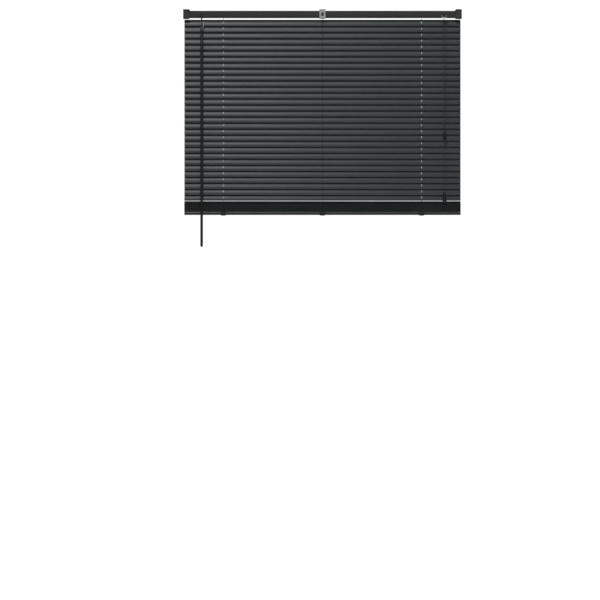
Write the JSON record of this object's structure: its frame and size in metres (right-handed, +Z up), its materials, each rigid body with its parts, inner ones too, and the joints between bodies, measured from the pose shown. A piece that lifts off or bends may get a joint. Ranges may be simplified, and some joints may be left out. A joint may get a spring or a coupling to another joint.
{
  "type": "venetian blind",
  "caption": "Horizontal slatted window blind with head rail, ladder strings, lift cords, tilt wand, pull-cord tassel and box brackets, drawn partly up.",
  "frame": {"origin": "ceiling plane, midway between the two end brackets and on the slats' tilting axes' plane: the centre of the four ceiling screw holes", "axes": "+Z up, +X along the slats to the right seen from the room, -Y towards the room"},
  "size_m": [1, 0.0434, 0.8535],
  "materials": {
    "slat_enamel": "stove-enamelled aluminium strip, satin anthracite",
    "enamelled_steel": "enamelled steel, satin near-black",
    "bracket_plastic": "moulded, satin near-black",
    "wand_plastic": "extruded rod, glossy black",
    "dark_plastic": "moulded, near-black",
    "pale_plastic": "moulded, pale grey",
    "bracket_steel": "enamelled sheet, pale grey",
    "zinc_plated_steel": "bright zinc plate",
    "braided_cord": "braided polyester",
    "ladder_string": "woven polyester"
  },
  "bodies": {
    "frame": {"headrail": "enamelled_steel", "end_brackets": "bracket_plastic", "centre_bracket": "bracket_steel", "drum_cradles": "pale_plastic", "tilter_housing": "bracket_plastic", "cord_lock": "pale_plastic", "lift_cords": "braided_cord"},
    "tilt_shaft": {"tilt_rod": "zinc_plated_steel", "ladder_drums": "pale_plastic", "tilter_gear": "pale_plastic"},
    "worm": {"tilter_worm": "pale_plastic"},
    "hook": {"wand_hook": "pale_plastic"},
    "wand": {"tilt_wand": "wand_plastic"},
    "door_left": {"bracket_door_left": "bracket_plastic"},
    "door_right": {"bracket_door_right": "bracket_plastic"},
    "lock_pulley": {"cord_lock_pulley": "zinc_plated_steel"},
    "pull": {"pull_cords": "braided_cord", "cord_joiner": "dark_plastic", "cord_tassel": "dark_plastic"},
    "lift": {"stacked_slats": "slat_enamel", "bottom_rail": "enamelled_steel", "rail_end_caps": "dark_plastic", "rail_clips": "dark_plastic"},
    "front_strings": {"front_ladder_strings": "ladder_string"},
    "rear_strings": {"rear_ladder_strings": "ladder_string"},
    "slat_01": {"slat_01": "slat_enamel"},
    "slat_02": {"slat_02": "slat_enamel"},
    "slat_03": {"slat_03": "slat_enamel"},
    "slat_04": {"slat_04": "slat_enamel"},
    "slat_05": {"slat_05": "slat_enamel"},
    "slat_06": {"slat_06": "slat_enamel"},
    "slat_07": {"slat_07": "slat_enamel"},
    "slat_08": {"slat_08": "slat_enamel"},
    "slat_09": {"slat_09": "slat_enamel"},
    "slat_10": {"slat_10": "slat_enamel"},
    "slat_11": {"slat_11": "slat_enamel"},
    "slat_12": {"slat_12": "slat_enamel"},
    "slat_13": {"slat_13": "slat_enamel"},
    "slat_14": {"slat_14": "slat_enamel"},
    "slat_15": {"slat_15": "slat_enamel"},
    "slat_16": {"slat_16": "slat_enamel"},
    "slat_17": {"slat_17": "slat_enamel"},
    "slat_18": {"slat_18": "slat_enamel"},
    "slat_19": {"slat_19": "slat_enamel"},
    "slat_20": {"slat_20": "slat_enamel"},
    "slat_21": {"slat_21": "slat_enamel"},
    "slat_22": {"slat_22": "slat_enamel"},
    "slat_23": {"slat_23": "slat_enamel"},
    "slat_24": {"slat_24": "slat_enamel"},
    "slat_25": {"slat_25": "slat_enamel"},
    "slat_26": {"slat_26": "slat_enamel"},
    "slat_27": {"slat_27": "slat_enamel"},
    "slat_28": {"slat_28": "slat_enamel"},
    "slat_29": {"slat_29": "slat_enamel"},
    "slat_30": {"slat_30": "slat_enamel"},
    "ladder_link_26": {"ladder_link_26": "ladder_string"},
    "ladder_link_27": {"ladder_link_27": "ladder_string"},
    "ladder_link_28": {"ladder_link_28": "ladder_string"},
    "ladder_link_29": {"ladder_link_29": "ladder_string"},
    "ladder_link_30": {"ladder_link_30": "ladder_string"}
  },
  "joints": [
    {"name": "tilt", "type": "hinge", "parent": "frame", "child": "tilt_shaft", "pos_m": [0, 0, -0.0181], "axis": [-1, 0, 0], "range_deg": [0, 135]},
    {"name": "lift", "type": "slide", "parent": "frame", "child": "lift", "axis": [0, 0, 1], "range_m": [0, 0.09325], "deforming": ["lift_cords"]},
    {"name": "slat_01_tilt", "type": "hinge", "parent": "frame", "child": "slat_01", "pos_m": [0, 0, -0.0478], "axis": [-1, 0, 0], "range_deg": [0, 135]},
    {"name": "slat_02_tilt", "type": "hinge", "parent": "frame", "child": "slat_02", "pos_m": [0, 0, -0.06945], "axis": [-1, 0, 0], "range_deg": [0, 135]},
    {"name": "slat_03_tilt", "type": "hinge", "parent": "frame", "child": "slat_03", "pos_m": [0, 0, -0.0911], "axis": [-1, 0, 0], "range_deg": [0, 135]},
    {"name": "slat_04_tilt", "type": "hinge", "parent": "frame", "child": "slat_04", "pos_m": [0, 0, -0.11275], "axis": [-1, 0, 0], "range_deg": [0, 135]},
    {"name": "slat_05_tilt", "type": "hinge", "parent": "frame", "child": "slat_05", "pos_m": [0, 0, -0.1344], "axis": [-1, 0, 0], "range_deg": [0, 135]},
    {"name": "slat_06_tilt", "type": "hinge", "parent": "frame", "child": "slat_06", "pos_m": [0, 0, -0.15605], "axis": [-1, 0, 0], "range_deg": [0, 135]},
    {"name": "slat_07_tilt", "type": "hinge", "parent": "frame", "child": "slat_07", "pos_m": [0, 0, -0.1777], "axis": [-1, 0, 0], "range_deg": [0, 135]},
    {"name": "slat_08_tilt", "type": "hinge", "parent": "frame", "child": "slat_08", "pos_m": [0, 0, -0.19935], "axis": [-1, 0, 0], "range_deg": [0, 135]},
    {"name": "slat_09_tilt", "type": "hinge", "parent": "frame", "child": "slat_09", "pos_m": [0, 0, -0.221], "axis": [-1, 0, 0], "range_deg": [0, 135]},
    {"name": "slat_10_tilt", "type": "hinge", "parent": "frame", "child": "slat_10", "pos_m": [0, 0, -0.24265], "axis": [-1, 0, 0], "range_deg": [0, 135]},
    {"name": "slat_11_tilt", "type": "hinge", "parent": "frame", "child": "slat_11", "pos_m": [0, 0, -0.2643], "axis": [-1, 0, 0], "range_deg": [0, 135]},
    {"name": "slat_12_tilt", "type": "hinge", "parent": "frame", "child": "slat_12", "pos_m": [0, 0, -0.28595], "axis": [-1, 0, 0], "range_deg": [0, 135]},
    {"name": "slat_13_tilt", "type": "hinge", "parent": "frame", "child": "slat_13", "pos_m": [0, 0, -0.3076], "axis": [-1, 0, 0], "range_deg": [0, 135]},
    {"name": "slat_14_tilt", "type": "hinge", "parent": "frame", "child": "slat_14", "pos_m": [0, 0, -0.32925], "axis": [-1, 0, 0], "range_deg": [0, 135]},
    {"name": "slat_15_tilt", "type": "hinge", "parent": "frame", "child": "slat_15", "pos_m": [0, 0, -0.3509], "axis": [-1, 0, 0], "range_deg": [0, 135]},
    {"name": "slat_16_tilt", "type": "hinge", "parent": "frame", "child": "slat_16", "pos_m": [0, 0, -0.37255], "axis": [-1, 0, 0], "range_deg": [0, 135]},
    {"name": "slat_17_tilt", "type": "hinge", "parent": "frame", "child": "slat_17", "pos_m": [0, 0, -0.3942], "axis": [-1, 0, 0], "range_deg": [0, 135]},
    {"name": "slat_18_tilt", "type": "hinge", "parent": "frame", "child": "slat_18", "pos_m": [0, 0, -0.41585], "axis": [-1, 0, 0], "range_deg": [0, 135]},
    {"name": "slat_19_tilt", "type": "hinge", "parent": "frame", "child": "slat_19", "pos_m": [0, 0, -0.4375], "axis": [-1, 0, 0], "range_deg": [0, 135]},
    {"name": "slat_20_tilt", "type": "hinge", "parent": "frame", "child": "slat_20", "pos_m": [0, 0, -0.45915], "axis": [-1, 0, 0], "range_deg": [0, 135]},
    {"name": "slat_21_tilt", "type": "hinge", "parent": "frame", "child": "slat_21", "pos_m": [0, 0, -0.4808], "axis": [-1, 0, 0], "range_deg": [0, 135]},
    {"name": "slat_22_tilt", "type": "hinge", "parent": "frame", "child": "slat_22", "pos_m": [0, 0, -0.50245], "axis": [-1, 0, 0], "range_deg": [0, 135]},
    {"name": "slat_23_tilt", "type": "hinge", "parent": "frame", "child": "slat_23", "pos_m": [0, 0, -0.5241], "axis": [-1, 0, 0], "range_deg": [0, 135]},
    {"name": "slat_24_tilt", "type": "hinge", "parent": "frame", "child": "slat_24", "pos_m": [0, 0, -0.54575], "axis": [-1, 0, 0], "range_deg": [0, 135]},
    {"name": "slat_25_tilt", "type": "hinge", "parent": "frame", "child": "slat_25", "pos_m": [0, 0, -0.5674], "axis": [-1, 0, 0], "range_deg": [0, 135]},
    {"name": "front_strings_turn", "type": "hinge", "parent": "slat_01", "child": "front_strings", "pos_m": [0, -0.00607, -0.06244], "axis": [-1, 0, 0], "range_deg": [-135, 0], "deforming": ["front_ladder_strings"]},
    {"name": "rear_strings_turn", "type": "hinge", "parent": "slat_01", "child": "rear_strings", "pos_m": [0, 0.00607, -0.03316], "axis": [-1, 0, 0], "range_deg": [-135, 0], "deforming": ["rear_ladder_strings"]},
    {"name": "ladder_link_26_rise", "type": "slide", "parent": "front_strings", "child": "ladder_link_26", "axis": [0, 0, 1], "range_m": [0, 0.01865], "deforming": ["ladder_link_26"]},
    {"name": "slat_26_tilt", "type": "hinge", "parent": "ladder_link_26", "child": "slat_26", "pos_m": [0, -0.00607, -0.60369], "axis": [-1, 0, 0], "range_deg": [0, 135]},
    {"name": "ladder_link_27_rise", "type": "slide", "parent": "front_strings", "child": "ladder_link_27", "axis": [0, 0, 1], "range_m": [0, 0.0373], "deforming": ["ladder_link_27"]},
    {"name": "slat_27_tilt", "type": "hinge", "parent": "ladder_link_27", "child": "slat_27", "pos_m": [0, -0.00607, -0.62534], "axis": [-1, 0, 0], "range_deg": [0, 135]},
    {"name": "ladder_link_28_rise", "type": "slide", "parent": "front_strings", "child": "ladder_link_28", "axis": [0, 0, 1], "range_m": [0, 0.05595], "deforming": ["ladder_link_28"]},
    {"name": "slat_28_tilt", "type": "hinge", "parent": "ladder_link_28", "child": "slat_28", "pos_m": [0, -0.00607, -0.64699], "axis": [-1, 0, 0], "range_deg": [0, 135]},
    {"name": "ladder_link_29_rise", "type": "slide", "parent": "front_strings", "child": "ladder_link_29", "axis": [0, 0, 1], "range_m": [0, 0.0746], "deforming": ["ladder_link_29"]},
    {"name": "slat_29_tilt", "type": "hinge", "parent": "ladder_link_29", "child": "slat_29", "pos_m": [0, -0.00607, -0.66864], "axis": [-1, 0, 0], "range_deg": [0, 135]},
    {"name": "ladder_link_30_rise", "type": "slide", "parent": "front_strings", "child": "ladder_link_30", "axis": [0, 0, 1], "range_m": [0, 0.09325], "deforming": ["ladder_link_30"]},
    {"name": "slat_30_tilt", "type": "hinge", "parent": "ladder_link_30", "child": "slat_30", "pos_m": [0, -0.00607, -0.69029], "axis": [-1, 0, 0], "range_deg": [0, 135]},
    {"name": "worm_turn", "type": "hinge", "parent": "frame", "child": "worm", "pos_m": [-0.4336, -0.019, -0.0471], "axis": [0, -0.342, -0.9397], "range_deg": [0, 1080]},
    {"name": "hook_turn", "type": "hinge", "parent": "frame", "child": "hook", "pos_m": [-0.4336, -0.019, -0.0471], "axis": [0, 0, -1], "range_deg": [0, 1080]},
    {"name": "wand_swing", "type": "hinge", "parent": "hook", "child": "wand", "pos_m": [-0.4336, -0.019, -0.0651], "axis": [-1, 0, 0], "range_deg": [0, 75]},
    {"name": "door_left", "type": "hinge", "parent": "frame", "child": "door_left", "pos_m": [-0.4875, -0.0159, -0.0018], "axis": [-1, 0, 0], "range_deg": [0, 90]},
    {"name": "door_right", "type": "hinge", "parent": "frame", "child": "door_right", "pos_m": [0.4875, -0.0159, -0.0018], "axis": [-1, 0, 0], "range_deg": [0, 90]},
    {"name": "lock_pulley_turn", "type": "hinge", "parent": "frame", "child": "lock_pulley", "pos_m": [0.4313, -0.0067, -0.025], "axis": [0, 0, 1], "range_deg": [-1080.4, 0]},
    {"name": "pull_travel", "type": "slide", "parent": "frame", "child": "pull", "axis": [0, 0, 1], "range_m": [-0.09325, 0], "deforming": ["pull_cords"]}
  ],
  "couplings": [
    {"joint": "slat_01_tilt", "follows": "tilt", "ratio": 1},
    {"joint": "slat_02_tilt", "follows": "tilt", "ratio": 1},
    {"joint": "slat_03_tilt", "follows": "tilt", "ratio": 1},
    {"joint": "slat_04_tilt", "follows": "tilt", "ratio": 1},
    {"joint": "slat_05_tilt", "follows": "tilt", "ratio": 1},
    {"joint": "slat_06_tilt", "follows": "tilt", "ratio": 1},
    {"joint": "slat_07_tilt", "follows": "tilt", "ratio": 1},
    {"joint": "slat_08_tilt", "follows": "tilt", "ratio": 1},
    {"joint": "slat_09_tilt", "follows": "tilt", "ratio": 1},
    {"joint": "slat_10_tilt", "follows": "tilt", "ratio": 1},
    {"joint": "slat_11_tilt", "follows": "tilt", "ratio": 1},
    {"joint": "slat_12_tilt", "follows": "tilt", "ratio": 1},
    {"joint": "slat_13_tilt", "follows": "tilt", "ratio": 1},
    {"joint": "slat_14_tilt", "follows": "tilt", "ratio": 1},
    {"joint": "slat_15_tilt", "follows": "tilt", "ratio": 1},
    {"joint": "slat_16_tilt", "follows": "tilt", "ratio": 1},
    {"joint": "slat_17_tilt", "follows": "tilt", "ratio": 1},
    {"joint": "slat_18_tilt", "follows": "tilt", "ratio": 1},
    {"joint": "slat_19_tilt", "follows": "tilt", "ratio": 1},
    {"joint": "slat_20_tilt", "follows": "tilt", "ratio": 1},
    {"joint": "slat_21_tilt", "follows": "tilt", "ratio": 1},
    {"joint": "slat_22_tilt", "follows": "tilt", "ratio": 1},
    {"joint": "slat_23_tilt", "follows": "tilt", "ratio": 1},
    {"joint": "slat_24_tilt", "follows": "tilt", "ratio": 1},
    {"joint": "slat_25_tilt", "follows": "tilt", "ratio": 1},
    {"joint": "slat_26_tilt", "follows": "tilt", "ratio": 1},
    {"joint": "slat_27_tilt", "follows": "tilt", "ratio": 1},
    {"joint": "slat_28_tilt", "follows": "tilt", "ratio": 1},
    {"joint": "slat_29_tilt", "follows": "tilt", "ratio": 1},
    {"joint": "slat_30_tilt", "follows": "tilt", "ratio": 1},
    {"joint": "front_strings_turn", "follows": "tilt", "ratio": -1},
    {"joint": "rear_strings_turn", "follows": "tilt", "ratio": -1},
    {"joint": "ladder_link_26_rise", "follows": "lift", "ratio": 0.2},
    {"joint": "ladder_link_27_rise", "follows": "lift", "ratio": 0.4},
    {"joint": "ladder_link_28_rise", "follows": "lift", "ratio": 0.6},
    {"joint": "ladder_link_29_rise", "follows": "lift", "ratio": 0.8},
    {"joint": "ladder_link_30_rise", "follows": "lift", "ratio": 1},
    {"joint": "worm_turn", "follows": "tilt", "ratio": 8},
    {"joint": "hook_turn", "follows": "tilt", "ratio": 8},
    {"joint": "lock_pulley_turn", "follows": "lift", "rad_per_m": -202.02},
    {"joint": "pull_travel", "follows": "lift", "ratio": -1}
  ]
}
